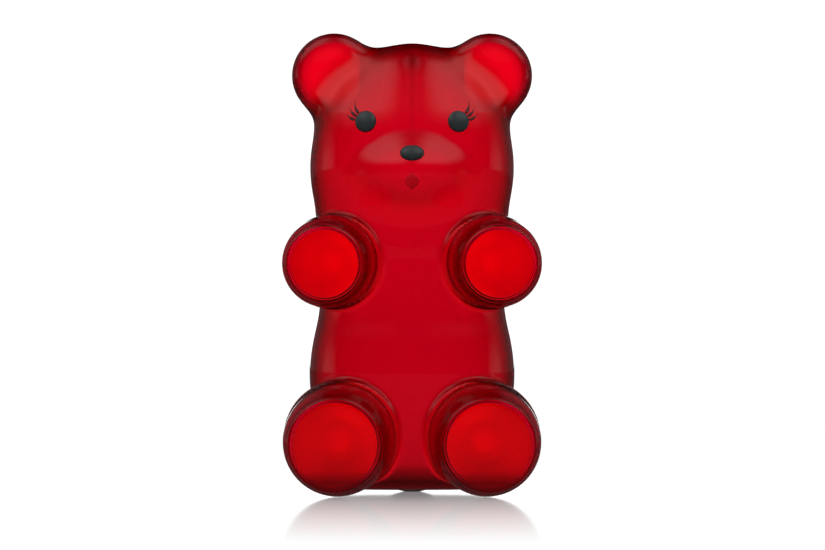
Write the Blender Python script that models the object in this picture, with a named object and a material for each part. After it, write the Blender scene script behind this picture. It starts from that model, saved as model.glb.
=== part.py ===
"""A hollow see-through toy bear, cast in soft vinyl, with four limbs that swivel on flanged plugs.

The bear faces -Y and stands on Z = 0. Lengths below are in millimetres and become metres as meshes are
made. Depths (Y) are counted from the casting's mid plane, which lies MID_Y behind the middle of the
whole bear's box. Left and right are the bear's own, so its left side is at +X.
"""

import math

import bmesh
import bpy
from mathutils import Vector

for old in list(bpy.data.objects):
    bpy.data.objects.remove(old, do_unlink=True)

MM = 0.001
MID_Y = 9.1
WALL = 2.2  # of every casting
GAP = 0.3  # between pieces that touch

# Head and torso: one casting, through level sections of height, half width, depth in front and behind.
STATIONS = (
    (2.2, 27.0, 20.0, 24.0),
    (3.4, 31.5, 25.0, 28.5),
    (7.0, 36.0, 29.5, 32.0),
    (14.0, 39.5, 32.5, 34.5),
    (26.0, 42.0, 34.4, 35.8),
    (40.0, 43.9, 35.4, 36.0),
    (55.0, 44.6, 35.4, 35.8),
    (66.5, 43.1, 34.4, 34.2),
    (77.0, 40.6, 33.2, 32.0),
    (88.0, 40.6, 32.2, 30.4),
    (100.0, 42.0, 31.8, 29.6),
    (112.0, 42.6, 31.8, 29.2),
    (124.0, 42.4, 32.2, 29.2),
    (136.0, 44.4, 33.2, 30.0),
    (148.0, 44.3, 33.8, 30.0),
    (158.0, 42.4, 33.2, 28.8),
    (168.0, 39.0, 31.4, 26.6),
    (177.0, 34.2, 28.4, 23.6),
    (185.0, 27.6, 23.8, 19.4),
    (191.0, 19.8, 17.8, 14.2),
    (194.6, 11.4, 10.6, 8.4),
    (196.0, 4.0, 4.0, 3.2),
)
SQUARENESS = 2.5  # exponent of the sections' rounded outline
SECTION_SIDES = 38

EAR_X, EAR_Z, EAR_R = 33.9, 181.8, 18.2
EAR_FRONT, EAR_BACK = 13.0, 9.0
MUZZLE_Y, MUZZLE_Z = -27.0, 143.5
MUZZLE_SIZE = (23.5, 14.0, 15.5)

# Limbs: each is a leaning drum whose root lies on a flat round seat of the body.
ARM_SEAT_X, ARM_SEAT_Y, ARM_SEAT_Z, ARM_SEAT_R = 35.4, -32.8, 100.7, 21.3
ARM_LEAN_X, ARM_LEAN_Z = 2.5, -1.1
ARM_OUTLINE = ((14.8, 15.1), (16.3, 14.6), (17.4, 13.3), (19.0, 10.1), (20.0, 6.1), (20.8, 0.0))
LEG_SEAT_X, LEG_SEAT_Y, LEG_SEAT_Z, LEG_SEAT_R = 31.2, -36.4, 24.35, 24.2
LEG_LEAN_X, LEG_LEAN_Z = 2.2, -2.1
LEG_OUTLINE = ((18.3, 17.5), (19.9, 17.0), (21.1, 15.5), (22.5, 12.5), (23.5, 9.0), (23.7, 5.0), (23.7, 0.0))
SEAT_BEVEL = 0.7
SEAT_RIM = 5.0  # straight edge of a seat before its back rounds off
SEAT_BACK = 34.0  # length of the rounded back of a seat

# Swivel plugs: a neck with a flange at each end, one inside the body and one inside the limb.
NECK_R, FLANGE_R, FLANGE_T = 5.0, 8.5, 2.0
SOCKET_R = NECK_R + GAP

# Pour hole under the body and the domed plug that closes it.
BASE_Y, BASE_HOLE_R = 12.0, 8.3
BASE_PAD_R, BASE_DOME_R, BASE_LIP_R = 3.5, 10.5, 9.2

# Face.
EYE_X, EYE_Z, EYE_R, EYE_WALL, EYE_DOME = 20.0, 161.0, 4.7, 1.1, 0.9
NOSE_Z, NOSE_HALF_X, NOSE_HALF_Z, NOSE_WALL, NOSE_DOME = 147.2, 5.15, 3.65, 1.0, 1.2
STEM_R, STEM_LENGTH = 1.5, 5.0
LASH_ANGLES = (55.0, 36.0, 15.0)  # of the roots, up from level and outwards round the eye's centre
LASH_ROOT, LASH_TIP, LASH_SWEEP = 5.2, 9.7, 10.0
LASH_WIDTH, PRINT_T, PRINT_GAP = 1.25, 0.35, 0.2
MOUTH_Z, MOUTH_HALF_X, MOUTH_HALF_Z = 134.8, 2.8, 3.0


def at(x, y, z):
    """A point in metres, from millimetres with the depth counted from the mid plane."""
    return Vector((x, y + MID_Y, z)) * MM


def finish(name, colour, roughness, alpha=1.0):
    """A plain moulded-plastic material."""
    made = bpy.data.materials.new(name)
    made.use_nodes = True
    shader = made.node_tree.nodes["Principled BSDF"]
    shader.inputs["Base Color"].default_value = (*colour, 1.0)
    shader.inputs["Roughness"].default_value = roughness
    shader.inputs["Metallic"].default_value = 0.0
    shader.inputs["Alpha"].default_value = alpha
    return made


RED_VINYL = finish("red_vinyl", (0.60, 0.0, 0.012), 0.08, 0.85)
BLACK_GLOSS = finish("black_gloss", (0.012, 0.014, 0.014), 0.2)
BROWN_PRINT = finish("brown_print", (0.09, 0.008, 0.012), 0.35)
MOUTH_PRINT = finish("mouth_print", (0.30, 0.0, 0.006), 0.3)


def add(name, mesh_edit, material, origin=(0.0, 0.0, 0.0)):
    """Makes an object of a bmesh whose points are in millimetres from origin, which is in metres."""
    bmesh.ops.scale(mesh_edit, vec=(MM, MM, MM), verts=mesh_edit.verts)
    bmesh.ops.recalc_face_normals(mesh_edit, faces=mesh_edit.faces)
    mesh = bpy.data.meshes.new(name)
    mesh_edit.to_mesh(mesh)
    mesh_edit.free()
    mesh.shade_smooth()
    mesh.set_sharp_from_angle(angle=math.radians(35.0))
    if material:
        mesh.materials.append(material)
    made = bpy.data.objects.new(name, mesh)
    made.location = origin
    bpy.context.collection.objects.link(made)
    return made


def turned(profile, sides):
    """A solid turned about Y: profile is a line of (radius, y), from the axis and back to it or to its start."""
    made = bmesh.new()
    closed = profile[0][0] > 0.0
    points = [made.verts.new((radius, y, 0.0)) for radius, y in profile]
    edges = [made.edges.new(pair) for pair in zip(points, points[1:])]
    if closed:
        edges.append(made.edges.new((points[-1], points[0])))
    bmesh.ops.spin(
        made,
        geom=points + edges,
        cent=(0.0, 0.0, 0.0),
        axis=(0.0, 1.0, 0.0),
        angle=2.0 * math.pi,
        steps=sides,
        use_merge=True,
        use_duplicate=False,
    )
    bmesh.ops.remove_doubles(made, verts=made.verts, dist=1e-4)
    return made


def cutter(name, mesh_edit, origin=(0.0, 0.0, 0.0)):
    """A hidden solid that a Boolean uses."""
    made = add(name, mesh_edit, None, origin)
    made.hide_render = True
    made.display_type = "WIRE"
    return made


def combine(target, operation, other):
    """Adds an exact Boolean modifier to target."""
    step = target.modifiers.new(f"{operation.lower()}_{other.name}", "BOOLEAN")
    step.operation = operation
    step.solver = "EXACT"
    step.object = other


def pulled_in(mesh_edit, depth):
    """The same shape with its surface moved inwards by depth."""
    bmesh.ops.recalc_face_normals(mesh_edit, faces=mesh_edit.faces)
    mesh_edit.normal_update()
    for vertex, normal in [(v, v.normal.copy()) for v in mesh_edit.verts]:
        vertex.co -= normal * depth
    return mesh_edit


# ---------------------------------------------------------------- body shell


def section_point(half_width, front, back, angle):
    """A point of a rounded-rectangle outline; the angle runs from +X through the back (+Y)."""
    across = math.copysign(abs(math.cos(angle)) ** (2.0 / SQUARENESS), math.cos(angle))
    along = math.copysign(abs(math.sin(angle)) ** (2.0 / SQUARENESS), math.sin(angle))
    return half_width * across, (back if along > 0.0 else front) * along


def torso():
    """Head and torso, lofted through STATIONS and closed by a flat face at each end."""
    made = bmesh.new()
    rings = []
    for height, half_width, front, back in STATIONS:
        ring = []
        for i in range(SECTION_SIDES):
            x, y = section_point(half_width, front, back, 2.0 * math.pi * i / SECTION_SIDES)
            ring.append(made.verts.new((x, y, height)))
        rings.append(ring)
    for lower, upper in zip(rings, rings[1:]):
        for i in range(SECTION_SIDES):
            j = (i + 1) % SECTION_SIDES
            made.faces.new((lower[i], lower[j], upper[j], upper[i]))
    made.faces.new(rings[0])
    made.faces.new(rings[-1])
    return made


def ear():
    """A round ear: a flat, slightly dished front with a rounded rim and a domed back."""
    dish = 0.8
    front = [(0.0, -EAR_FRONT + dish), (0.45 * EAR_R, -EAR_FRONT + 0.6 * dish), (0.7 * EAR_R, -EAR_FRONT)]
    rim = [(0.7 + 0.3 * math.sin(a), math.cos(a)) for a in (math.radians(d) for d in (25, 50, 75, 90))]
    front += [(EAR_R * r, -EAR_FRONT * (0.35 + 0.65 * c)) for r, c in rim]
    back = [(EAR_R * math.cos(a), EAR_BACK * math.sin(a)) for a in (math.radians(d) for d in (10, 30, 50, 70))]
    return turned(front + back + [(0.0, EAR_BACK)], 26)


def muzzle():
    """The domed snout."""
    made = bmesh.new()
    bmesh.ops.create_uvsphere(made, u_segments=24, v_segments=12, radius=1.0)
    bmesh.ops.scale(made, vec=MUZZLE_SIZE, verts=made.verts)
    return made


def seat(seat_radius, inset):
    """A limb's seat: a short drum with a flat front at y = inset and a rounded back that sinks into the body."""
    radius = seat_radius - inset
    bevel = SEAT_BEVEL if inset == 0.0 else 0.0
    rounding = [math.radians(degrees) for degrees in (25, 45, 62, 76)]
    back = [(radius * math.cos(a), SEAT_RIM + (SEAT_BACK - inset) * math.sin(a)) for a in rounding]
    front = [(0.0, inset), (radius - bevel, inset), (radius, inset + bevel), (radius, SEAT_RIM)]
    return turned(front + back + [(0.0, SEAT_RIM + SEAT_BACK - inset)], 30)


def lumps(inset):
    """The shapes that join the torso, each with its name and place: the outside at 0, the hollow at WALL."""
    made = [("muzzle", pulled_in(muzzle(), inset), at(0.0, MUZZLE_Y, MUZZLE_Z))]
    for side, sign in (("left", 1.0), ("right", -1.0)):
        made += [
            (f"ear_{side}", pulled_in(ear(), inset), at(sign * EAR_X, 0.0, EAR_Z)),
            (f"arm_seat_{side}", seat(ARM_SEAT_R, inset), at(sign * ARM_SEAT_X, ARM_SEAT_Y, ARM_SEAT_Z)),
            (f"leg_seat_{side}", seat(LEG_SEAT_R, inset), at(sign * LEG_SEAT_X, LEG_SEAT_Y, LEG_SEAT_Z)),
        ]
    return made


body_shell = add("body_shell", torso(), RED_VINYL, at(0.0, 0.0, 0.0))
hollow = cutter("hollow", pulled_in(torso(), WALL), at(0.0, 0.0, 0.0))
for name, shape, place in lumps(0.0):
    combine(body_shell, "UNION", cutter(f"outer_{name}", shape, place))
for name, shape, place in lumps(WALL):
    combine(hollow, "UNION", cutter(f"hollow_{name}", shape, place))
combine(body_shell, "DIFFERENCE", hollow)


def drill(name, radius, length, place, direction=Vector((0.0, 1.0, 0.0))):
    """Cuts a round hole in the body, centred on place and running along direction."""
    tool = turned([(0.0, -length / 2.0), (radius, -length / 2.0), (radius, length / 2.0), (0.0, length / 2.0)], 32)
    made = cutter(f"hole_{name}", tool, place)
    made.rotation_euler = direction.to_track_quat("Y", "Z").to_euler()
    combine(body_shell, "DIFFERENCE", made)


drill("base", BASE_HOLE_R, 8.0, at(0.0, BASE_Y, STATIONS[0][0]), Vector((0.0, 0.0, 1.0)))

# ---------------------------------------------------------------- limbs and swivel plugs


def limb(outline):
    """A hollow drum: outline gives radius and length from the root, front edge first."""
    length = outline[0][1]
    outside = [(0.0, -length)] + [(radius, -reach) for radius, reach in outline]
    wall = outline[-1][0] - WALL
    inside = [(SOCKET_R, 0.0), (SOCKET_R, -WALL), (wall, -WALL)]
    inside += [(radius - WALL, -min(reach, length - WALL)) for radius, reach in reversed(outline[2:-1])]
    inside += [(outline[0][0] - 1.2, WALL - length), (0.0, WALL - length)]
    return turned(outside + inside, 34)


def lean(mesh_edit, length, across, up):
    """Slides each level of a limb sideways in step with its distance from the root wall, which stays put."""
    for vertex in mesh_edit.verts:
        share = max(0.0, -vertex.co.y - WALL) / (length - WALL)
        vertex.co.x += across * share
        vertex.co.z += up * share
    return mesh_edit


def swivel_plug():
    """The spool between body and limb; y = 0 is the seat's face."""
    body_flange = WALL + GAP
    limb_flange = -(GAP + WALL + GAP)
    return turned(
        [
            (0.0, body_flange + FLANGE_T),
            (FLANGE_R - 0.6, body_flange + FLANGE_T),
            (FLANGE_R, body_flange + FLANGE_T - 0.6),
            (FLANGE_R, body_flange),
            (NECK_R, body_flange),
            (NECK_R, limb_flange),
            (FLANGE_R, limb_flange),
            (FLANGE_R, limb_flange - FLANGE_T + 0.6),
            (FLANGE_R - 0.6, limb_flange - FLANGE_T),
            (0.0, limb_flange - FLANGE_T),
        ],
        24,
    )


for side, sign in (("left", 1.0), ("right", -1.0)):
    arm_root = at(sign * ARM_SEAT_X, ARM_SEAT_Y - GAP, ARM_SEAT_Z)
    leg_root = at(sign * LEG_SEAT_X, LEG_SEAT_Y - GAP, LEG_SEAT_Z)
    arm = lean(limb(ARM_OUTLINE), ARM_OUTLINE[0][1], sign * ARM_LEAN_X, ARM_LEAN_Z)
    leg = lean(limb(LEG_OUTLINE), LEG_OUTLINE[0][1], sign * LEG_LEAN_X, LEG_LEAN_Z)
    add(f"arm_{side}", arm, RED_VINYL, arm_root)
    add(f"leg_{side}", leg, RED_VINYL, leg_root)
    for joint, root in (("shoulder", arm_root), ("hip", leg_root)):
        seat_at = root + Vector((0.0, GAP * MM, 0.0))
        add(f"{joint}_plug_{side}", swivel_plug(), RED_VINYL, seat_at)
        drill(f"{joint}_{side}", SOCKET_R, 4.0 * WALL, seat_at)

# ---------------------------------------------------------------- base plug

dome = (BASE_DOME_R**2 - BASE_PAD_R**2) ** 0.5
base_floor = STATIONS[0][0]
base_profile = [
    (0.0, 0.0),
    (BASE_PAD_R, 0.0),
    (0.6 * BASE_DOME_R, 0.35 * (base_floor - GAP)),
    (0.85 * BASE_DOME_R, 0.75 * (base_floor - GAP)),
    (BASE_DOME_R, base_floor - GAP),
    (BASE_HOLE_R - GAP, base_floor - GAP),
    (BASE_HOLE_R - GAP, base_floor + WALL + GAP),
    (BASE_LIP_R, base_floor + WALL + GAP),
    (BASE_HOLE_R - 1.0, base_floor + WALL + 1.8),
    (0.0, base_floor + WALL + 1.8),
]
base_plug = add("base_plug", turned(base_profile, 28), RED_VINYL, at(0.0, BASE_Y, 0.0))
base_plug.rotation_euler = (math.radians(90.0), 0.0, 0.0)

# ---------------------------------------------------------------- face


def face_depth(x, z):
    """The depth of the face's surface at a point seen from the front: the head or the snout, whichever is nearer."""
    for low, high in zip(STATIONS, STATIONS[1:]):
        if low[0] <= z <= high[0]:
            share = (z - low[0]) / (high[0] - low[0])
            half_width = low[1] + share * (high[1] - low[1])
            front = low[2] + share * (high[2] - low[2])
            head = -front * (1.0 - (abs(x) / half_width) ** SQUARENESS) ** (1.0 / SQUARENESS)
    inside = 1.0 - (x / MUZZLE_SIZE[0]) ** 2 - ((z - MUZZLE_Z) / MUZZLE_SIZE[2]) ** 2
    snout = MUZZLE_Y - MUZZLE_SIZE[1] * math.sqrt(max(inside, 0.0))
    return min(head, snout) if inside > 0.0 else head


def face_normal(x, z, step=1.5):
    """The direction that the face's surface looks in at a point."""
    across = (face_depth(x + step, z) - face_depth(x - step, z)) / (2.0 * step)
    up = (face_depth(x, z + step) - face_depth(x, z - step)) / (2.0 * step)
    return Vector((across, -1.0, up)).normalized()


def button(half_x, half_z, wall, dome, sides=26):
    """A domed button with a stem, along Y: its back lies at y = 0 and it faces -Y."""
    arc = [math.radians(degrees) for degrees in (0, 18, 36, 54, 72)]
    profile = [(0.0, -wall - dome)]
    profile += [(half_x * math.cos(a), -wall - dome * math.sin(a)) for a in reversed(arc)]
    profile += [(half_x, 0.0), (STEM_R, 0.0), (STEM_R, STEM_LENGTH), (0.0, STEM_LENGTH)]
    made = turned(profile, sides)
    for vertex in made.verts:
        if vertex.co.y < 1e-3 and math.hypot(vertex.co.x, vertex.co.z) > STEM_R + 1e-3:
            vertex.co.z *= half_z / half_x
    return made


def fit_button(name, mesh_edit, x, z):
    """Seats a button on the face at a point and drills its stem's hole."""
    normal = face_normal(x, z)
    surface = at(x, face_depth(x, z), z)
    made = add(name, mesh_edit, BLACK_GLOSS, surface + normal * GAP * MM)
    made.rotation_euler = (-normal).to_track_quat("Y", "Z").to_euler()
    drill(name, STEM_R + GAP, 3.0 * STEM_LENGTH, surface, -normal)
    return made


for side, sign in (("left", 1.0), ("right", -1.0)):
    fit_button(f"eye_{side}", button(EYE_R, EYE_R, EYE_WALL, EYE_DOME), sign * EYE_X, EYE_Z)
nose = fit_button("nose", button(NOSE_HALF_X, NOSE_HALF_Z, NOSE_WALL, NOSE_DOME), 0.0, NOSE_Z)

groove_shape = bmesh.new()
bmesh.ops.create_cone(
    groove_shape, cap_ends=True, segments=12, radius1=0.5, radius2=0.5, depth=4.0 * NOSE_HALF_Z
)
groove = cutter("nose_groove", groove_shape, nose.location)
groove.rotation_euler = nose.rotation_euler
groove.location += face_normal(0.0, NOSE_Z) * (NOSE_WALL + NOSE_DOME + 0.1) * MM
combine(nose, "DIFFERENCE", groove)


def laid_on_face(name, outline, material):
    """A thin solid that follows the face: outline is a ring of (x, z), each joined to the ring's middle line."""
    made = bmesh.new()
    layers = []
    for height in (PRINT_GAP, PRINT_GAP + PRINT_T):
        layer = []
        for x, z in outline:
            layer.append(made.verts.new(Vector((x, face_depth(x, z), z)) + face_normal(x, z) * height))
        layers.append(layer)
    below, above = layers
    count = len(outline)
    for i in range(count):
        j = (i + 1) % count
        made.faces.new((below[i], below[j], above[j], above[i]))
    for layer in layers:
        for i in range(1, count // 2):
            made.faces.new([layer[k] for k in (i - 1, i, count - 1 - i, count - i) if 0 <= k < count])
    return add(name, made, material, at(0.0, 0.0, 0.0))


def lash_outline(sign, angle):
    """A leaf that tapers from its root beside the eye to its tip, curving as it goes."""
    steps = 5
    left, right = [], []
    for i in range(steps + 1):
        share = i / steps
        reach = LASH_ROOT + share * (LASH_TIP - LASH_ROOT)
        turn = math.radians(angle + LASH_SWEEP * share**1.5)
        half = 0.5 * LASH_WIDTH * (1.0 - 0.85 * share) * (0.75 + share * (1.0 - share))
        x, z = reach * math.cos(turn), reach * math.sin(turn)
        left.append((sign * (EYE_X + x - half * math.sin(turn)), EYE_Z + z + half * math.cos(turn)))
        right.append((sign * (EYE_X + x + half * math.sin(turn)), EYE_Z + z - half * math.cos(turn)))
    return left + right[::-1]


for side, sign in (("left", 1.0), ("right", -1.0)):
    for number, angle in enumerate(LASH_ANGLES, 1):
        laid_on_face(f"lash_{side}_{number}", lash_outline(sign, angle), BROWN_PRINT)


def mouth_outline():
    """A small rounded diamond, symmetric about X = 0, starting at its top."""
    half = []
    for i in range(7):
        angle = math.pi * i / 6.0
        half.append((MOUTH_HALF_X * math.sin(angle) ** 1.6, MOUTH_Z + MOUTH_HALF_Z * math.cos(angle)))
    right = [(max(x, 0.15), z) for x, z in half]
    return right + [(-x, z) for x, z in reversed(right)]


laid_on_face("mouth", mouth_outline(), MOUTH_PRINT)
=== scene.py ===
import math

import bmesh
import bpy
import numpy as np
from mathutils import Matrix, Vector


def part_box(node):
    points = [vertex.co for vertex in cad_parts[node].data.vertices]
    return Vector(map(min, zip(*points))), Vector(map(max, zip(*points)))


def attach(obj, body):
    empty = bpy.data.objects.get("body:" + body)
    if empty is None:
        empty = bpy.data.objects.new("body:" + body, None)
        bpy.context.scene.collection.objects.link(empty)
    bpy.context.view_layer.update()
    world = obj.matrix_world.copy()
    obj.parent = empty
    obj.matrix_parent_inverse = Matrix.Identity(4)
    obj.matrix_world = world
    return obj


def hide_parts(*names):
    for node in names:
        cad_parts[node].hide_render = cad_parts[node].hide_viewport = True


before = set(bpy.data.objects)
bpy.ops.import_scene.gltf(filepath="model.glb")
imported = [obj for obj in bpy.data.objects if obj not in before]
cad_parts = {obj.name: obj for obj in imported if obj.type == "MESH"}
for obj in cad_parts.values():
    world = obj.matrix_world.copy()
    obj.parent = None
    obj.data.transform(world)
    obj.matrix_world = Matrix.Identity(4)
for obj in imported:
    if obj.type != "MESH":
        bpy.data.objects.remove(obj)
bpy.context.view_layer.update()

# ---------------------------------------------------------------- body shell
# Head, ears and torso are one rotational casting in clear red vinyl, polished outside and frosted
# inside, with a wall of 2.2 mm. The sculptor melts ears, a snout and four round limb seats into one
# soft trunk, and leaves open a socket in each seat and a pour hole underneath.

MM = 0.001
WALL = 2.2
BACK_DEPTH = 35.9  # from the casting's mid plane to its back
shell_low, shell_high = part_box("body_shell")
mid_depth = 1000.0 * shell_high.y - BACK_DEPTH

# Height, half width, and depth in front and behind as shares of the half width.
TRUNK = np.array(
    (
        (0.0, 40.4, 0.83, 0.88),
        (13.0, 41.3, 0.825, 0.865),
        (26.0, 42.5, 0.812, 0.845),
        (40.0, 43.9, 0.80, 0.82),
        (55.0, 44.6, 0.795, 0.80),
        (66.5, 43.2, 0.798, 0.79),
        (77.0, 41.0, 0.80, 0.78),
        (88.0, 40.2, 0.795, 0.755),
        (100.0, 40.8, 0.78, 0.73),
        (112.0, 41.8, 0.765, 0.70),
        (124.0, 42.5, 0.757, 0.685),
        (134.0, 44.1, 0.752, 0.675),
        (145.0, 44.5, 0.76, 0.675),
        (156.0, 42.9, 0.775, 0.675),
        (168.0, 38.9, 0.80, 0.68),
        (180.0, 31.5, 0.83, 0.70),
        (190.0, 20.3, 0.86, 0.73),
        (196.0, 0.0, 0.88, 0.75),
    )
)
TRUNK_BOTTOM, BOTTOM_ROUNDING = 2.2, 9.0
SQUARE, ROUND = 2.5, 2.1  # how square a section is: the trunk's, and the crown's
CROWN_FROM, CROWN_OVER = 165.0, 20.0  # the height where it starts to turn round, and over how much
TYPICAL_HALF = 44.0


def curve_through(heights, values):
    """A smooth curve of values against height, straight beyond its ends."""
    count = len(heights)
    gaps = np.diff(heights)
    slopes = np.diff(values) / gaps
    system = np.eye(count)
    right = np.zeros(count)
    for i in range(1, count - 1):
        system[i, i - 1 : i + 2] = gaps[i - 1], 2.0 * (gaps[i - 1] + gaps[i]), gaps[i]
        right[i] = 6.0 * (slopes[i] - slopes[i - 1])
    bends = np.linalg.solve(system, right)

    def value(height):
        i = np.clip(np.searchsorted(heights, height) - 1, 0, count - 2)
        along = height - heights[i]
        first = slopes[i] - gaps[i] * (2.0 * bends[i] + bends[i + 1]) / 6.0
        inside = np.clip(along, 0.0, gaps[i])
        curve = first * inside + bends[i] * inside**2 / 2.0
        curve += (bends[i + 1] - bends[i]) * inside**3 / (6.0 * gaps[i])
        end_slope = first + bends[i] * inside + (bends[i + 1] - bends[i]) * inside**2 / (2.0 * gaps[i])
        return values[i] + curve + end_slope * (along - inside)

    return value


width_squared = curve_through(TRUNK[:, 0], TRUNK[:, 1] ** 2)
front_share = curve_through(TRUNK[:, 0], TRUNK[:, 2])
back_share = curve_through(TRUNK[:, 0], TRUNK[:, 3])


def distance_like(form, points, step=0.2):
    """Turns a form that is 0 on its surface into about the distance from it."""
    here = form(points)
    slope = np.zeros_like(here)
    for axis in range(3):
        shift = np.zeros(3)
        shift[axis] = step
        slope += ((form(points + shift) - form(points - shift)) / (2.0 * step)) ** 2
    return here / np.sqrt(slope + 1e-9)


def melt(a, b, reach):
    """The union of two forms with a fillet of about that reach."""
    share = np.clip(0.5 + 0.5 * (b - a) / reach, 0.0, 1.0)
    return b + (a - b) * share - reach * share * (1.0 - share)


def trunk_form(p):
    x, y, z = p[..., 0], p[..., 1], p[..., 2]
    power = SQUARE + (ROUND - SQUARE) * np.clip((z - CROWN_FROM) / CROWN_OVER, 0.0, 1.0)
    depth = np.abs(y) / np.where(y < 0.0, front_share(z), back_share(z))
    girth = width_squared(z)
    reach = np.sign(girth) * np.abs(girth) ** (power / 2.0)
    return (np.abs(x) ** power + depth**power - reach) / TYPICAL_HALF ** (power - 1.0)


def disc_form(p, centre, size, power):
    """A round cushion: size is its radius and its half depth in front and behind."""
    q = p - centre
    radial = np.hypot(q[..., 0], q[..., 2]) / size[0]
    depth = np.abs(q[..., 1]) / np.where(q[..., 1] < 0.0, size[1], size[2])
    return (radial**power + depth**power - 1.0) * size[1]


def egg_form(p, centre, size):
    q = (p - centre) / size
    return (np.sum(q * q, axis=-1) - 1.0) * min(size)


# Centres are of the left side's ear, seats and sockets; the right side mirrors them.
EAR_CENTRE, EAR_SIZE, EAR_SQUARE, EAR_FILLET = np.array((33.9, -1.5, 181.7)), (18.5, 12.0, 10.5), 3.0, 9.0
EAR_DISH_AT, EAR_DISH_R, EAR_DISH_FILLET = np.array((36.5, -77.0, 184.5)), 66.5, 1.5
SNOUT_CENTRE, SNOUT_SIZE = np.array((0.0, -26.5, 140.0)), (21.5, 15.4, 15.2)
SNOUT_FILLET_ABOVE, SNOUT_FILLET_BELOW = 4.0, 9.0
BRIDGE_TOP, BRIDGE_OVER = 152.0, 14.0  # the heights over which the snout's fillet grows
ARM_AXIS, LEG_AXIS = np.array((35.4, -32.8, 100.7)), np.array((31.2, -36.4, 24.35))
ARM_SEAT, ARM_SEAT_R = np.array((33.9, -32.8, 100.7)), 20.7
LEG_SEAT, LEG_SEAT_R = np.array((30.3, -36.4, 25.1)), 24.9
SEAT_BACK, SEAT_TAPER, SEAT_EDGE, SEAT_FILLET = 38.0, 0.85, 0.9, 2.5
SOCKET_R, SOCKET_REACH, POUR_HOLE_R, POUR_HOLE_TOP = 5.3, 6.0, 8.3, 8.0
VALLEY_FROM, VALLEY_TO, VALLEY_HALF, VALLEY_DEPTH = 150.0, 188.0, 4.0, 0.3
CROWN_DIP_AT, CROWN_DIP_HALF, CROWN_DIP_DEPTH = 187.0, 4.0, 0.5
POUR_HOLE_Y = 1000.0 * sum(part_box("base_plug")[end].y for end in (0, 1)) / 2.0 - mid_depth


def seat_form(p, seat, radius):
    """A limb's seat: a flat round face towards -Y on a form that rounds off into the body behind it."""
    q = p - seat
    radial = np.hypot(q[..., 0], q[..., 2])
    swell = np.clip(q[..., 1] / SEAT_BACK, 0.0, 1.0)
    side = radial - radius * np.sqrt(1.0 - SEAT_TAPER * swell**2) + SEAT_EDGE
    face = np.maximum(-q[..., 1], q[..., 1] - SEAT_BACK) + SEAT_EDGE
    outside = np.hypot(np.maximum(side, 0.0), np.maximum(face, 0.0)) - SEAT_EDGE
    return outside + np.minimum(np.maximum(side, face), 0.0)


def body_distance(p):
    """About the distance from the outside of the casting, in millimetres, negative inside."""
    q = p.copy()
    q[..., 0] = np.abs(q[..., 0])
    trunk = np.maximum(distance_like(trunk_form, p), -15.0)
    ear = distance_like(lambda r: disc_form(r, EAR_CENTRE, EAR_SIZE, EAR_SQUARE), q)
    dish = EAR_DISH_R - np.linalg.norm(q - EAR_DISH_AT, axis=-1)
    ear = -melt(-ear, -dish, EAR_DISH_FILLET)
    made = melt(trunk, ear, EAR_FILLET)
    snout = distance_like(lambda r: egg_form(r, SNOUT_CENTRE, SNOUT_SIZE), p)
    below_bridge = np.clip((BRIDGE_TOP - p[..., 2]) / BRIDGE_OVER, 0.0, 1.0)
    fillet = SNOUT_FILLET_ABOVE + (SNOUT_FILLET_BELOW - SNOUT_FILLET_ABOVE) * below_bridge
    made = melt(made, snout, fillet)
    made = melt(made, seat_form(q, ARM_SEAT, ARM_SEAT_R), SEAT_FILLET)
    made = melt(made, seat_form(q, LEG_SEAT, LEG_SEAT_R), SEAT_FILLET)
    made = -melt(-made, -(TRUNK_BOTTOM - p[..., 2]), BOTTOM_ROUNDING)
    # A shallow valley runs down the middle of the forehead, deepest at the crown.
    rising = np.clip((p[..., 2] - VALLEY_FROM) / (VALLEY_TO - VALLEY_FROM), 0.0, 1.0)
    in_front = np.clip(-(p[..., 1] + 2.0) / 12.0, 0.0, 1.0)
    crown_dip = np.exp(-(((p[..., 2] - CROWN_DIP_AT) / CROWN_DIP_HALF) ** 2))
    depth = (VALLEY_DEPTH + CROWN_DIP_DEPTH * crown_dip) * rising * in_front
    return made + depth * np.exp(-((p[..., 0] / VALLEY_HALF) ** 2))


def holes(p):
    """Negative in the four sockets and the pour hole."""
    q = p.copy()
    q[..., 0] = np.abs(q[..., 0])
    bore = np.full(p.shape[:-1], 1e3)
    for seat in (ARM_AXIS, LEG_AXIS):
        socket = np.hypot(q[..., 0] - seat[0], q[..., 2] - seat[2]) - SOCKET_R
        bore = np.minimum(bore, np.maximum(socket, np.abs(q[..., 1] - seat[1]) - SOCKET_REACH))
    pour = np.hypot(p[..., 0], p[..., 1] - POUR_HOLE_Y) - POUR_HOLE_R
    return np.minimum(bore, np.maximum(pour, p[..., 2] - POUR_HOLE_TOP))


def shell_distance(p):
    """The distance from the wall's faces, negative in the vinyl itself."""
    outside = body_distance(p)
    return np.maximum(np.maximum(outside, -(outside + WALL)), -holes(p))


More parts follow.
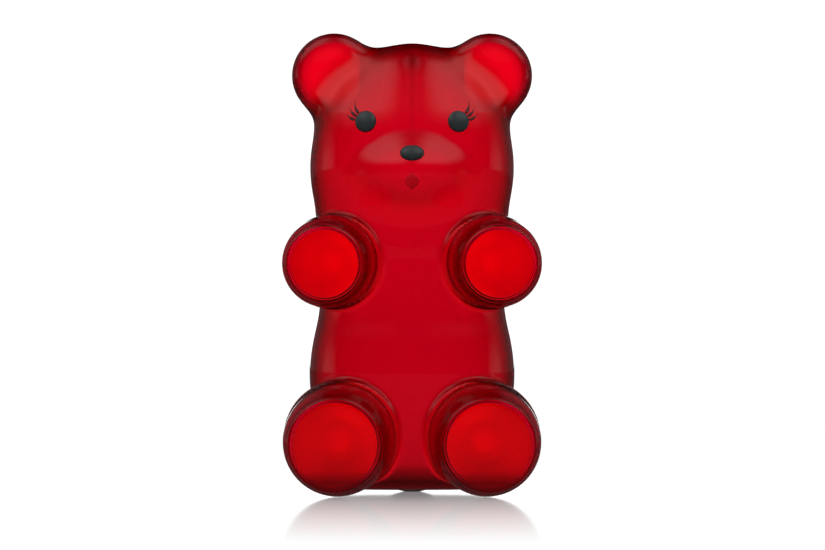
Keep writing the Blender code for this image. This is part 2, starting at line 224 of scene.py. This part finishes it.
def net_over(form, low, high, cell):
    """A closed net of quads over a form, with one point in each cell that its surface crosses."""
    counts = [2 * int(math.ceil((h - l) / cell / 2.0)) + 1 for l, h in zip(low, high)]
    axes = [l + cell * np.arange(n) for l, n in zip(low, counts)]
    low = (-cell * (counts[0] // 2), low[1], low[2])
    axes[0] = low[0] + cell * np.arange(counts[0])
    grid = np.empty(counts)
    for i in range(counts[0] // 2, counts[0]):
        plane = np.stack(np.meshgrid(axes[0][i : i + 1], axes[1], axes[2], indexing="ij"), axis=-1)
        grid[i] = form(plane)[0]
        grid[counts[0] - 1 - i] = grid[i]  # left and right are alike
    total = np.zeros((grid.size, 3))
    hits = np.zeros(grid.size)
    quads = []
    strides = [counts[1] * counts[2], counts[2], 1]
    for axis in range(3):
        u, v = (axis + 1) % 3, (axis + 2) % 3
        start = [slice(None)] * 3
        end = [slice(None)] * 3
        start[axis], end[axis] = slice(None, -1), slice(1, None)
        a, b = grid[tuple(start)], grid[tuple(end)]
        index = np.argwhere((a < 0.0) != (b < 0.0))
        index = index[(index[:, u] > 0) & (index[:, v] > 0)]
        first, second = a[tuple(index.T)], b[tuple(index.T)]
        spot = index.astype(float)
        spot[:, axis] += first / (first - second)
        flat = index @ np.array(strides)
        around = [flat - strides[u] - strides[v], flat - strides[v], flat, flat - strides[u]]
        for cells in around:
            for k in range(3):
                total[:, k] += np.bincount(cells, spot[:, k], grid.size)
            hits += np.bincount(cells, minlength=grid.size)
        ring = np.stack(around, axis=1)
        ring[first > 0.0] = ring[first > 0.0][:, ::-1]
        quads.append(ring)
    used = np.flatnonzero(hits)
    number = np.full(grid.size, -1)
    number[used] = np.arange(len(used))
    points = np.array(low) + cell * total[used] / hits[used, None]
    return points, number[np.concatenate(quads)]


CORNERS = np.array(((1.0, 1.0, 1.0), (1.0, -1.0, -1.0), (-1.0, 1.0, -1.0), (-1.0, -1.0, 1.0)))


def slope_of(form, points, step=0.06):
    """A form's value and slope at points, from four samples round each."""
    samples = np.stack([form(points + step * corner) for corner in CORNERS])
    return samples.mean(axis=0), np.einsum("ci,cj->ij", samples, CORNERS) / (4.0 * step)


def drawn_on(form, points, rounds, most=0.4):
    """The points moved onto the form's surface, and the surface's direction there."""
    for _ in range(rounds):
        value, slope = slope_of(form, points)
        length = np.maximum(np.linalg.norm(slope, axis=1), 0.3)
        points = points - slope * (np.clip(value / length, -most, most) / length)[:, None]
    slope = slope_of(form, points)[1]
    return points, slope / np.linalg.norm(slope, axis=1)[:, None]


def piece_from(name, points, faces):
    mesh = bpy.data.meshes.new(name)
    mesh.from_pydata([tuple(p) for p in points], [], [tuple(f) for f in faces])
    mesh.update()
    mesh.shade_smooth()
    made = bpy.data.objects.new(name, mesh)
    bpy.context.scene.collection.objects.link(made)
    return made


def red_vinyl(name, dye_density, dye_colour, rim_shade_range, painted_glow, bottom_shade_heights=None):
    """Clear red vinyl, dyed right through, polished outside and frosted inside. Painted shade darkens it
    where it is seen edge-on, towards the table and where the edge_shade attribute marks it; its end faces
    have a painted glow."""
    made = bpy.data.materials.new(name)
    made.use_nodes = True
    nodes, links = made.node_tree.nodes, made.node_tree.links
    shader = nodes["Principled BSDF"]
    place = nodes.new("ShaderNodeTexCoord")
    swirl = nodes.new("ShaderNodeTexNoise")
    swirl.inputs["Scale"].default_value = 22.0
    swirl.inputs["Detail"].default_value = 3.0
    swirl.inputs["Distortion"].default_value = 0.8
    tint = nodes.new("ShaderNodeValToRGB")
    tint.color_ramp.elements[0].position = 0.3
    tint.color_ramp.elements[0].color = (0.95, 0.12, 0.30, 1.0)
    tint.color_ramp.elements[1].position = 0.7
    tint.color_ramp.elements[1].color = (0.98, 0.14, 0.33, 1.0)
    # Painted shade: where the surface is seen edge-on, camera rays see the tint mixed towards a
    # near-black red.
    slant = nodes.new("ShaderNodeLayerWeight")
    slant.inputs["Blend"].default_value = 0.5
    edge_on = nodes.new("ShaderNodeMapRange")
    edge_on.interpolation_type = "SMOOTHSTEP"
    edge_on.inputs["From Min"].default_value = rim_shade_range[0]
    edge_on.inputs["From Max"].default_value = rim_shade_range[1]
    edge_on.inputs["To Max"].default_value = 0.9
    path = nodes.new("ShaderNodeLightPath")
    seen_edge_shade = nodes.new("ShaderNodeMath")
    seen_edge_shade.operation = "MULTIPLY"
    # The near-black red that the painted shade mixes into the tint.
    painted_shade_tint = nodes.new("ShaderNodeMix")
    painted_shade_tint.data_type = "RGBA"
    painted_shade_tint.inputs[7].default_value = (0.06, 0.004, 0.007, 1.0)
    ripple = nodes.new("ShaderNodeTexNoise")
    ripple.inputs["Scale"].default_value = 260.0
    ripple.inputs["Detail"].default_value = 1.0
    bump = nodes.new("ShaderNodeBump")
    bump.inputs["Strength"].default_value = 0.03
    bump.inputs["Distance"].default_value = 0.0002
    dye = nodes.new("ShaderNodeVolumeAbsorption")
    dye.inputs["Color"].default_value = (*dye_colour, 1.0)
    dye.inputs["Density"].default_value = dye_density
    links.new(place.outputs["Object"], swirl.inputs["Vector"])
    links.new(swirl.outputs["Fac"], tint.inputs["Fac"])
    links.new(slant.outputs["Facing"], edge_on.inputs["Value"])
    links.new(edge_on.outputs["Result"], seen_edge_shade.inputs[0])
    links.new(path.outputs["Is Camera Ray"], seen_edge_shade.inputs[1])
    # The edge_shade attribute adds painted shade marked on the mesh: ear rims, the forehead crease, rings
    # round the limbs.
    edge_shade = nodes.new("ShaderNodeAttribute")
    edge_shade.attribute_name = "edge_shade"
    rimmed = nodes.new("ShaderNodeMath")
    rimmed.operation = "MAXIMUM"
    links.new(seen_edge_shade.outputs["Value"], rimmed.inputs[0])
    links.new(edge_shade.outputs["Fac"], rimmed.inputs[1])
    # Rays that are reflected, not passed through, see the colour without the painted shade.
    mirrored = nodes.new("ShaderNodeMath")
    mirrored.operation = "SUBTRACT"
    mirrored.use_clamp = True
    links.new(path.outputs["Is Glossy Ray"], mirrored.inputs[0])
    links.new(path.outputs["Is Transmission Ray"], mirrored.inputs[1])
    direct = nodes.new("ShaderNodeMath")
    direct.operation = "SUBTRACT"
    direct.use_clamp = True
    links.new(rimmed.outputs["Value"], direct.inputs[0])
    links.new(mirrored.outputs["Value"], direct.inputs[1])
    links.new(direct.outputs["Value"], painted_shade_tint.inputs["Factor"])
    # Painted shade: the colour darkens towards the table, over the given band of heights above it in the
    # world.
    if bottom_shade_heights:
        where = nodes.new("ShaderNodeNewGeometry")
        heights = nodes.new("ShaderNodeSeparateXYZ")
        bottom_shade = nodes.new("ShaderNodeMapRange")
        bottom_shade.inputs["From Min"].default_value = bottom_shade_heights[0]
        bottom_shade.inputs["From Max"].default_value = bottom_shade_heights[1]
        bottom_shade.inputs["To Max"].default_value = 0.82
        both = nodes.new("ShaderNodeMath")
        both.operation = "MAXIMUM"
        links.new(where.outputs["Position"], heights.inputs["Vector"])
        links.new(heights.outputs["Z"], bottom_shade.inputs["Value"])
        links.new(bottom_shade.outputs["Result"], both.inputs[0])
        links.new(rimmed.outputs["Value"], both.inputs[1])
        links.new(both.outputs["Value"], direct.inputs[0])
    links.new(tint.outputs["Color"], painted_shade_tint.inputs[6])
    links.new(painted_shade_tint.outputs[2], shader.inputs["Base Color"])
    links.new(place.outputs["Object"], ripple.inputs["Vector"])
    links.new(ripple.outputs["Fac"], bump.inputs["Height"])
    links.new(bump.outputs["Normal"], shader.inputs["Normal"])
    links.new(dye.outputs["Volume"], nodes["Material Output"].inputs["Volume"])
    inner = nodes.new("ShaderNodeAttribute")
    inner.attribute_name = "inner_face"
    finish = nodes.new("ShaderNodeMapRange")
    finish.inputs["To Min"].default_value = 0.01
    finish.inputs["To Max"].default_value = 0.5
    links.new(inner.outputs["Fac"], finish.inputs["Value"])
    links.new(finish.outputs["Result"], shader.inputs["Roughness"])
    # Painted glow: marked end faces emit red light, standing in for the light that the frosted vinyl
    # would gather.
    painted_glow_face = nodes.new("ShaderNodeAttribute")
    painted_glow_face.attribute_name = "painted_glow_face"
    painted_glow_strength = nodes.new("ShaderNodeMath")
    painted_glow_strength.operation = "MULTIPLY"
    painted_glow_strength.inputs[1].default_value = painted_glow
    links.new(painted_glow_face.outputs["Fac"], painted_glow_strength.inputs[0])
    links.new(painted_glow_strength.outputs["Value"], shader.inputs["Emission Strength"])
    shader.inputs["Emission Color"].default_value = (1.0, 0.0, 0.012, 1.0)
    shader.inputs["Transmission Weight"].default_value = 1.0
    shader.inputs["IOR"].default_value = 1.5
    return made


body_vinyl = red_vinyl("red_vinyl_body", 1100.0, (0.91, 0.02, 0.50), (0.30, 0.68), 0.33, (0.0095, 0.006))

CELL = 1.25  # of the net, small enough that no cell holds both faces of the wall
span_low = (1000.0 * shell_low.x - 2.0, 1000.0 * shell_low.y - mid_depth - 2.0, -1.0)
span_high = (1000.0 * shell_high.x + 2.0, 1000.0 * shell_high.y - mid_depth + 2.0, 203.0)
points, quads = net_over(shell_distance, span_low, span_high, CELL)
points, directions = drawn_on(shell_distance, points, 2)
inner_face = body_distance(points) < -0.5 * WALL
across, back, up = np.abs(points[:, 0]), points[:, 1], points[:, 2]

# Painted light on the casting: a painted glow in the ears' middles, and painted shade on the ears' rims,
# down the crease of the forehead and in a spot at the crown.
EAR_GLOW_R, EAR_GLOW_FADE, EAR_FROM = 15.0, 5.0, 22.0
EAR_RIM_R, EAR_RIM_FADE, EAR_RIM_REACH, EAR_RIM_SHADE = 15.4, 1.2, 22.0, 0.9
CREASE_FROM, CREASE_FADE, CREASE_HALF, CREASE_SHADE = 150.0, 20.0, 0.9, 0.16
CROWN_SPOT_AT, CROWN_SPOT_HALF, CROWN_SPOT_SHADE = 188.0, 5.0, 0.45
from_ear = np.hypot(across - EAR_CENTRE[0], up - EAR_CENTRE[2])
painted_ear_glow = np.clip((EAR_GLOW_R - from_ear) / EAR_GLOW_FADE, 0.0, 1.0) * (across > EAR_FROM)
painted_ear_glow *= (back < -2.0) & inner_face
outward = (across - EAR_CENTRE[0] + up - EAR_CENTRE[2]) / np.maximum(from_ear, 1.0)
painted_ear_rim = np.clip((from_ear - EAR_RIM_R) / EAR_RIM_FADE, 0.0, 1.0) * (from_ear < EAR_RIM_REACH)
painted_ear_rim *= np.clip(0.3 + 2.5 * outward, 0.0, 1.0)
painted_crown_spot = np.exp(-((across / CROWN_SPOT_HALF) ** 2) - ((up - CROWN_SPOT_AT) / CROWN_SPOT_HALF) ** 2)
painted_crease = CROWN_SPOT_SHADE * painted_crown_spot + CREASE_SHADE * np.exp(-((across / CREASE_HALF) ** 2))
painted_crease *= np.clip((up - CREASE_FROM) / CREASE_FADE, 0.0, 1.0) * (back < -5.0)


def marked(piece, name, values):
    """Writes a value for each point of a piece, which its material reads by name."""
    mark = piece.data.attributes.new(name, "FLOAT", "POINT")
    mark.data.foreach_set("value", values.astype(np.float32))


points[:, 1] += mid_depth
body_shell = piece_from("body_casting", points * MM, quads)
body_shell.data.materials.append(body_vinyl)
marked(body_shell, "inner_face", inner_face)
marked(body_shell, "painted_glow_face", painted_ear_glow)
marked(body_shell, "edge_shade", np.maximum(EAR_RIM_SHADE * painted_ear_rim, painted_crease))
body_shell.data.normals_split_custom_set_from_vertices([tuple(d) for d in directions])
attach(body_shell, "body")
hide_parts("body_shell")

# ---------------------------------------------------------------- limbs
# Arms and legs are short hollow drums of the same vinyl, closed in front by a flat round face and
# behind by a wall with the swivel's hole. They lean a little outwards and down from their seats.

ARM_OUTLINE = ((15.5, 15.1), (16.7, 14.2), (18.7, 10.6), (19.4, 6.6), (19.8, 3.0), (20.1, 0.0))
LEG_OUTLINE = ((19.1, 17.5), (20.3, 16.7), (22.2, 12.8), (23.3, 8.6), (23.7, 4.5), (23.9, 0.0))
ARM_LEAN, LEG_LEAN = (2.2, -1.1), (1.8, -2.1)  # of the face from the root, outwards and upwards
LIMB_SIDES, EDGE_STEPS, SIDE_STEPS, SEAT_GAP = 96, 8, 13, 0.3


def turned(profile, sides):
    """A closed solid turned about Y from a line of (radius, y)."""
    points, faces = [], []
    rings = []
    for radius, y in profile:
        if radius < 1e-6:
            rings.append([len(points)])
            points.append((0.0, y, 0.0))
            continue
        rings.append(list(range(len(points), len(points) + sides)))
        for i in range(sides):
            angle = 2.0 * math.pi * i / sides
            points.append((radius * math.cos(angle), y, radius * math.sin(angle)))
    for near, far in zip(rings, rings[1:]):
        for i in range(sides):
            j = (i + 1) % sides
            corners = [near[i % len(near)], far[i % len(far)], far[j % len(far)], near[j % len(near)]]
            faces.append(list(dict.fromkeys(corners)))
    return np.array(points), faces


def drum_side(outline, inset):
    """A drum from its face's middle to its root: flat face, soft edge, gently swelling side."""
    face_r, length = outline[0]
    root_first = np.array(outline[:0:-1])
    radii = curve_through(root_first[:, 1], root_first[:, 0])
    reach = outline[1][1]
    line = [(0.0, inset - length)]
    line += [(face_r * share, inset - length) for share in (0.3, 0.6, 0.85)]
    side_r = float(radii(np.array([reach]))[0])
    for angle in np.linspace(0.0, math.pi / 2.0, EDGE_STEPS + 1):
        radius = face_r + (side_r - face_r - inset) * math.sin(angle)
        line.append((radius, -reach - (length - reach - inset) * math.cos(angle)))
    for share in np.linspace(0.0, 1.0, SIDE_STEPS + 1)[1:]:
        height = reach * (1.0 - share)
        if height < inset:
            break
        line.append((float(radii(np.array([height]))[0]) - inset, -height))
    return line


def limb_profile(outline):
    """A limb's outside, the wall at its root with the socket, and its inside."""
    outside = drum_side(outline, 0.0)
    inside = drum_side(outline, WALL)
    root_r = outside[-1][0]
    outside = outside[:-1] + [(root_r, -0.5), (root_r - 0.15, -0.15), (root_r - 0.5, 0.0)]
    inner_r = inside[-1][0]
    wall = [(SOCKET_R + 0.3, 0.0), (SOCKET_R, -0.3), (SOCKET_R, -WALL), (inner_r - 0.8, -WALL)]
    return outside, wall, inside[::-1]


limb_vinyl = {
    "arm": red_vinyl("red_vinyl_arms", 700.0, (0.985, 0.0, 0.45), (0.60, 0.86), 0.36),
    "leg": red_vinyl("red_vinyl_legs", 700.0, (0.985, 0.0, 0.45), (0.60, 0.86), 0.23, (0.0115, 0.0065)),
}

for side, sign in (("left", 1.0), ("right", -1.0)):
    for kind, outline, seat, lean in (
        ("arm", ARM_OUTLINE, ARM_AXIS, ARM_LEAN),
        ("leg", LEG_OUTLINE, LEG_AXIS, LEG_LEAN),
    ):
        outside, wall, inside = limb_profile(outline)
        points, faces = turned(outside + wall + inside, LIMB_SIDES)
        share = np.clip((-points[:, 1] - WALL) / (outline[0][1] - WALL), 0.0, 1.0)
        points[:, 0] += sign * lean[0] * share + sign * seat[0]
        points[:, 2] += lean[1] * share + seat[2]
        points[:, 1] += seat[1] - SEAT_GAP + mid_depth
        limb = piece_from(f"{kind}_casting_{side}", points * MM, faces)
        limb.data.materials.append(limb_vinyl[kind])
        # From ring to ring: the face, its soft edge, the side, the wall at the root, and back inside.
        face_rings, corner_rings = 4, 4 + EDGE_STEPS
        side_rings = len(outside) - 1 - corner_rings
        # Painted shade, written to the edge_shade attribute: dark rings at the face's soft edge and the
        # inside corner, fading down the side.
        ring_shade = np.zeros(len(outside) + len(wall) + len(inside))
        ring_shade[face_rings + 1 : corner_rings + 1] = 0.75
        ring_shade[corner_rings + 1 : len(outside)] = 0.9 * np.linspace(1.0, 0.0, side_rings) ** 1.8
        ring_shade[-corner_rings - 1 : -face_rings - 2] = 0.8
        ring_of = np.repeat(np.arange(len(ring_shade)), [1] + [LIMB_SIDES] * (len(ring_shade) - 2) + [1])
        marked(limb, "inner_face", ring_of >= len(outside) + len(wall))
        # The face's inner rings carry the painted glow.
        marked(limb, "painted_glow_face", ring_of >= len(ring_shade) - face_rings - 1)
        marked(limb, "edge_shade", ring_shade[ring_of])
        limb.data.set_sharp_from_angle(angle=math.radians(50.0))
        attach(limb, f"{side}_{kind}")
        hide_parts(f"{kind}_{side}")

# ---------------------------------------------------------------- swivel plugs and base plug
# Injection-moulded spools of the same clear red plastic snap into limb and body and let the limb
# turn. A wider plug closes the pour hole underneath, and the bear stands on its foot.

for joint in ("shoulder", "hip"):
    for side in ("left", "right"):
        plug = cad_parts[f"{joint}_plug_{side}"]
        plug.data.materials.clear()
        plug.data.materials.append(limb_vinyl["arm"])
base_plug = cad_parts["base_plug"]
base_plug.data.materials.clear()
base_plug.data.materials.append(body_vinyl)

# ---------------------------------------------------------------- eyes and nose
# Glossy black domed buttons, each seated on the face and held by a stem through the wall. The nose
# is an oval one with a groove moulded down its middle.

EYE_R, EYE_RISE, EYE_X, EYE_Z = 4.7, 2.1, 20.0, 161.0
NOSE_SIZE, NOSE_RISE, NOSE_Z = (5.2, 3.7), 2.3, 147.3
GROOVE_DEPTH, GROOVE_WIDTH = 0.9, 0.7
STEM_R, STEM_LENGTH, SKIRT, BUTTON_SIDES = 1.5, 5.0, 0.5, 72


def face_point(x, z):
    """Where the front of the casting is at a width and height."""
    near, far = np.full_like(x, -60.0), np.full_like(x, -8.0)
    for _ in range(30):
        middle = (near + far) / 2.0
        outside = body_distance(np.stack((x, middle, z), axis=-1)) > 0.0
        near, far = np.where(outside, middle, near), np.where(outside, far, middle)
    return np.stack((x, far, z), axis=-1)


def opaque_colour(name, colour, roughness):
    """Moulded or printed colour with a fine uneven grain."""
    made = bpy.data.materials.new(name)
    made.use_nodes = True
    nodes, links = made.node_tree.nodes, made.node_tree.links
    shader = nodes["Principled BSDF"]
    place = nodes.new("ShaderNodeTexCoord")
    grain = nodes.new("ShaderNodeTexNoise")
    grain.inputs["Scale"].default_value = 900.0
    shade = nodes.new("ShaderNodeValToRGB")
    shade.color_ramp.elements[0].color = (*[c * 0.85 for c in colour], 1.0)
    shade.color_ramp.elements[1].color = (*colour, 1.0)
    links.new(place.outputs["Object"], grain.inputs["Vector"])
    links.new(grain.outputs["Fac"], shade.inputs["Fac"])
    links.new(shade.outputs["Color"], shader.inputs["Base Color"])
    shader.inputs["Roughness"].default_value = roughness
    return made


def button(name, node, size, rise, x, z, groove=0.0):
    """A domed button with a short skirt and a stem, standing on the face."""
    stem = STEM_R / size[0]
    dome = [(math.sin(t), -rise * math.cos(t)) for t in np.linspace(0.0, math.pi / 2.0, 26)]
    profile = dome + [(1.0, SKIRT), (stem, SKIRT), (stem, STEM_LENGTH), (0.0, STEM_LENGTH)]
    points, faces = turned(profile, BUTTON_SIDES)
    share = np.clip(-points[:, 1] / rise, 0.0, 1.0)
    points[:, 0] *= size[0]
    points[:, 2] *= size[1]
    points[:, 1] += groove * np.exp(-((points[:, 0] / GROOVE_WIDTH) ** 2)) * np.sqrt(share)
    centre = face_point(np.array([x]), np.array([z]))
    outward = Vector(slope_of(body_distance, centre)[1][0]).normalized()
    turn = Vector((0.0, -1.0, 0.0)).rotation_difference(outward).to_matrix()
    points = points @ np.array(turn).T + centre[0] + np.array((0.0, mid_depth, 0.0))
    made = piece_from(name, points * MM, faces)
    made.data.materials.append(black)
    made.data.set_sharp_from_angle(angle=math.radians(50.0))
    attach(made, "body")
    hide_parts(node)


black = opaque_colour("black_gloss", (0.034, 0.041, 0.042), 0.3)
button("eye_button_left", "eye_left", (EYE_R, EYE_R), EYE_RISE, EYE_X, EYE_Z)
button("eye_button_right", "eye_right", (EYE_R, EYE_R), EYE_RISE, -EYE_X, EYE_Z)
button("nose_button", "nose", NOSE_SIZE, NOSE_RISE, 0.0, NOSE_Z, GROOVE_DEPTH)

# ---------------------------------------------------------------- lashes and mouth
# Pad-printed: three tapering brown strokes beside each eye, and a small darker heart under the
# nose. Both inks are thin, and the red shows through them.

LASH_ROOT_R, LASH_TIPS_R, LASH_ANGLES = 4.6, (9.8, 9.4, 9.2), (57.0, 37.0, 17.0)
LASH_SWEEP, LASH_WIDTH = 14.0, 1.5
MOUTH_Z, MOUTH_HALF, MOUTH_DIP = 134.9, (3.1, 3.5), 0.8
INK, INK_LIFT = 0.12, 0.05  # thickness, and how far it stands off the vinyl


def see_through(ink, cover):
    """Thins a print so that the vinyl shows through it."""
    nodes, links = ink.node_tree.nodes, ink.node_tree.links
    clear = nodes.new("ShaderNodeBsdfTransparent")
    film = nodes.new("ShaderNodeMixShader")
    film.inputs["Fac"].default_value = cover
    links.new(clear.outputs["BSDF"], film.inputs[1])
    links.new(nodes["Principled BSDF"].outputs["BSDF"], film.inputs[2])
    links.new(film.outputs["Shader"], nodes["Material Output"].inputs["Surface"])
    return ink


def printed(name, node, rows, ink):
    """A thin closed film on the face; rows run across the shape, each a line of (x, z)."""
    rows = np.array(rows)
    count, across = rows.shape[:2]
    flat = rows.reshape(-1, 2)
    lying = face_point(flat[:, 0], flat[:, 1])
    outward = slope_of(body_distance, lying)[1]
    outward /= np.linalg.norm(outward, axis=1)[:, None]
    lying += INK_LIFT * outward + np.array((0.0, mid_depth, 0.0))
    points = np.concatenate((lying, lying + INK * outward))
    total = count * across
    faces = []
    for i in range(count - 1):
        for j in range(across - 1):
            a = i * across + j
            faces.append((a, a + 1, a + across + 1, a + across))
            faces.append((total + a, total + a + across, total + a + across + 1, total + a + 1))
    edge = [j for j in range(across)] + [i * across + across - 1 for i in range(1, count)]
    edge += [(count - 1) * across + j for j in range(across - 2, -1, -1)]
    edge += [i * across for i in range(count - 2, 0, -1)]
    for a, b in zip(edge, edge[1:] + edge[:1]):
        faces.append((b, a, total + a, total + b))
    made = piece_from(name, points * MM, faces)
    shape = bmesh.new()
    shape.from_mesh(made.data)
    bmesh.ops.recalc_face_normals(shape, faces=shape.faces)
    shape.to_mesh(made.data)
    shape.free()
    made.data.materials.append(ink)
    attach(made, "body")
    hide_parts(node)


brown = see_through(opaque_colour("brown_print", (0.10, 0.010, 0.014), 0.4), 0.85)
dark_red = see_through(opaque_colour("mouth_print", (0.80, 0.001, 0.010), 0.35), 0.45)
for side, sign in (("left", 1.0), ("right", -1.0)):
    for number, (angle, tip_r) in enumerate(zip(LASH_ANGLES, LASH_TIPS_R), start=1):
        stroke = []
        for share in np.linspace(0.0, 1.0, 13):
            turn = math.radians(angle + LASH_SWEEP * (share**2 - 0.5))
            radius = LASH_ROOT_R + (tip_r - LASH_ROOT_R) * share
            belly = 0.55 + 0.45 * math.sin(math.pi * min(1.0, share * 1.6))
            half = 0.5 * LASH_WIDTH * belly * (1.0 - share**2)
            line = []
            for offset in (-1.0, -0.5, 0.0, 0.5, 1.0):
                around = turn + offset * (half + 0.03) / radius
                x = sign * (EYE_X + radius * math.cos(around))
                line.append((x, EYE_Z + radius * math.sin(around)))
            stroke.append(line)
        printed(f"lash_print_{side}_{number}", f"lash_{side}_{number}", stroke, brown)
heart = []
for height in np.linspace(-1.0, 1.0, 17):
    half = MOUTH_HALF[0] * (1.0 - abs(height) ** 1.5) ** 0.9 * (1.12 if height > 0.0 else 1.0) + 0.05
    dip = MOUTH_DIP * max(0.0, height) ** 2
    line = []
    for t in np.linspace(-1.0, 1.0, 15):
        line.append((half * t, MOUTH_Z + MOUTH_HALF[1] * (height - dip * math.exp(-((4.0 * t) ** 2)))))
    heart.append(line)
printed("mouth_print", "mouth", heart, dark_red)

# ---------------------------------------------------------------- table, light and camera
# A lit white acrylic table top in a white studio. Black flags stand round the bear, so that its
# polished faces show little but two tall soft boxes in front and a strip of the lit wall behind.

bpy.ops.mesh.primitive_plane_add(size=8.0, location=(0.0, 0.0, 0.0))
table = bpy.context.object
table.name = "table_top"
acrylic = bpy.data.materials.new("lit_acrylic")
acrylic.use_nodes = True
nodes, links = acrylic.node_tree.nodes, acrylic.node_tree.links
nodes.clear()
out = nodes.new("ShaderNodeOutputMaterial")
glow = nodes.new("ShaderNodeEmission")
gloss = nodes.new("ShaderNodeBsdfGlossy")
gloss.inputs["Roughness"].default_value = 0.08
surface = nodes.new("ShaderNodeMixShader")
dim = nodes.new("ShaderNodeEmission")
for_eye = nodes.new("ShaderNodeMixShader")
path = nodes.new("ShaderNodeLightPath")
place = nodes.new("ShaderNodeTexCoord")
from_bear = nodes.new("ShaderNodeVectorMath")
from_bear.operation = "LENGTH"
fade = nodes.new("ShaderNodeMapRange")
fade.inputs["From Min"].default_value = 0.06
fade.inputs["From Max"].default_value = 0.40
fade.inputs["To Min"].default_value = 0.86
fade.inputs["To Max"].default_value = 0.0
mirror = nodes.new("ShaderNodeFresnel")
mirror.inputs["IOR"].default_value = 1.5
shine = nodes.new("ShaderNodeMath")
shine.operation = "MULTIPLY"
dim_level = nodes.new("ShaderNodeMapRange")
dim_level.inputs["To Min"].default_value = 0.05
dim_level.inputs["To Max"].default_value = 0.5
# Painted shadow: the table's glow dims where ambient occlusion finds the bear close by.
contact = nodes.new("ShaderNodeAmbientOcclusion")
contact.samples = 8
contact.inputs["Distance"].default_value = 0.045
painted_contact_shadow = nodes.new("ShaderNodeMapRange")
painted_contact_shadow.inputs["To Min"].default_value = 0.62
painted_contact_shadow.inputs["To Max"].default_value = 1.0
links.new(contact.outputs["AO"], painted_contact_shadow.inputs["Value"])
links.new(painted_contact_shadow.outputs["Result"], glow.inputs["Strength"])
links.new(place.outputs["Object"], from_bear.inputs[0])
links.new(from_bear.outputs["Value"], fade.inputs["Value"])
links.new(fade.outputs["Result"], shine.inputs[0])
links.new(mirror.outputs["Fac"], shine.inputs[1])
links.new(shine.outputs["Value"], surface.inputs["Fac"])
links.new(glow.outputs["Emission"], surface.inputs[1])
links.new(gloss.outputs["BSDF"], surface.inputs[2])
links.new(path.outputs["Is Transmission Ray"], dim_level.inputs["Value"])
links.new(dim_level.outputs["Result"], dim.inputs["Strength"])
links.new(path.outputs["Is Camera Ray"], for_eye.inputs["Fac"])
links.new(dim.outputs["Emission"], for_eye.inputs[1])
links.new(surface.outputs["Shader"], for_eye.inputs[2])
links.new(for_eye.outputs["Shader"], out.inputs["Surface"])
table.data.materials.append(acrylic)

world = bpy.data.worlds.new("studio")
bpy.context.scene.world = world
world.use_nodes = True
nodes, links = world.node_tree.nodes, world.node_tree.links
nodes.clear()
out = nodes.new("ShaderNodeOutputWorld")
room = nodes.new("ShaderNodeBackground")
room.inputs["Color"].default_value = (1.0, 1.0, 1.0, 1.0)
path = nodes.new("ShaderNodeLightPath")
place = nodes.new("ShaderNodeTexCoord")
axes = nodes.new("ShaderNodeSeparateXYZ")
links.new(place.outputs["Generated"], axes.inputs["Vector"])


def level(value, low, high, bottom=0.0, top=1.0):
    """A soft step from bottom to top while the value goes from low to high."""
    step = nodes.new("ShaderNodeMapRange")
    step.interpolation_type = "SMOOTHSTEP"
    for name, number in zip(("From Min", "From Max", "To Min", "To Max"), (low, high, bottom, top)):
        step.inputs[name].default_value = number
    links.new(value, step.inputs["Value"])
    return step.outputs["Result"]


def joined(operation, first, second=None):
    """Two brightnesses worked together, or one on its own."""
    step = nodes.new("ShaderNodeMath")
    step.operation = operation
    links.new(first, step.inputs[0])
    if second is not None:
        links.new(second, step.inputs[1])
    return step.outputs["Value"]


def chosen(share, off, on):
    """One brightness where a kind of light path is off, and another where it is on."""
    step = nodes.new("ShaderNodeMix")
    links.new(share, step.inputs["Factor"])
    for name, value in (("A", off), ("B", on)):
        if isinstance(value, float):
            step.inputs[name].default_value = value
        else:
            links.new(value, step.inputs[name])
    return step.outputs["Result"]


THROUGH_LEVEL, DIFFUSE_LEVEL, SEEN_LEVEL = 1.43, 1.3, 1.05  # of the room, by the kind of light path
aside = joined("ABSOLUTE", axes.outputs["X"])
lit_strip = level(axes.outputs["Y"], 0.970, 0.990, 0.0, 2.0)
side_strip = level(aside, 0.94, 1.0, 0.0, 0.3)
side_strip = joined("MULTIPLY", side_strip, level(axes.outputs["Z"], 0.0, 0.40, 1.0, 0.0))
side_wall = joined("MULTIPLY", level(axes.outputs["Y"], -0.3, 0.3, 0.0, 0.10), level(aside, 0.05, 0.4))
soft_box = joined("MULTIPLY", level(aside, 0.0, 0.36, 0.06, 0.68), level(axes.outputs["Z"], 0.27, 0.60))
soft_box = joined("MULTIPLY", soft_box, level(axes.outputs["Y"], -0.05, 0.35, 1.0, 0.0))
soft_box = joined("MULTIPLY", soft_box, level(aside, 0.80, 0.98, 1.0, 0.0))
reflected = joined("ADD", joined("ADD", lit_strip, side_strip), joined("ADD", side_wall, soft_box))
through = chosen(path.outputs["Is Transmission Ray"], reflected, THROUGH_LEVEL)
lit = chosen(path.outputs["Is Diffuse Ray"], through, DIFFUSE_LEVEL)
links.new(chosen(path.outputs["Is Camera Ray"], lit, SEEN_LEVEL), room.inputs["Strength"])
links.new(room.outputs["Background"], out.inputs["Surface"])

camera_data = bpy.data.cameras.new("camera")
camera = bpy.data.objects.new("camera", camera_data)
bpy.context.scene.collection.objects.link(camera)
CAMERA_DISTANCE, CAMERA_HEIGHT = 2.2, 0.0949
FRAME_WIDTH = 0.3599  # of the view at the casting's mid plane
camera_data.sensor_width = 36.0
camera_data.lens = camera_data.sensor_width * CAMERA_DISTANCE / FRAME_WIDTH
camera_data.clip_end = 40.0
camera.location = (0.0002, mid_depth * MM - CAMERA_DISTANCE, CAMERA_HEIGHT)
camera.rotation_euler = (math.radians(90.0), 0.0, 0.0)
bpy.context.scene.camera = camera
bpy.context.scene.view_settings.view_transform = "Standard"
bpy.context.scene.cycles.max_bounces = 16
bpy.context.scene.cycles.transmission_bounces = 16
